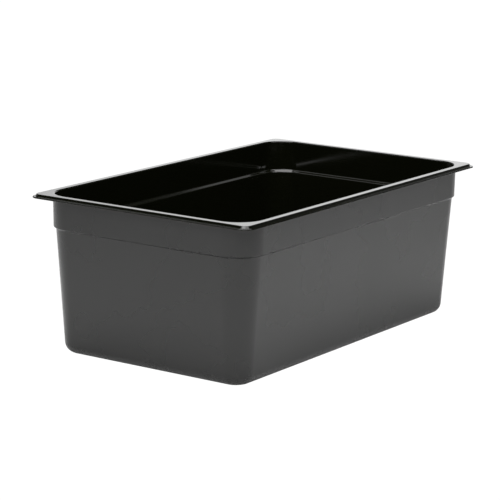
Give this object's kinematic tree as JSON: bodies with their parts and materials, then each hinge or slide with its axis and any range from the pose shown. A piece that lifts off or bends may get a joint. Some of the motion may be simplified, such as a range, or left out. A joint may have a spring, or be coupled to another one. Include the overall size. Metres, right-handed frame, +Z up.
{
  "type": "food pan",
  "caption": "Deep full-size gastronorm food pan in black moulded plastic, with a drafted well, a stacking collar and a stepped flange that hangs it in a counter.",
  "frame": {"origin": "middle of the base's underside, the plane that the pan stands on", "axes": "+X along the length, +Y along the width, +Z up out of the mouth"},
  "size_m": [0.53, 0.325, 0.2],
  "materials": {
    "black_polycarbonate": "finely textured satin outside, polished inside"
  },
  "bodies": {
    "root": {"pan": "black_polycarbonate"}
  },
  "joints": []
}
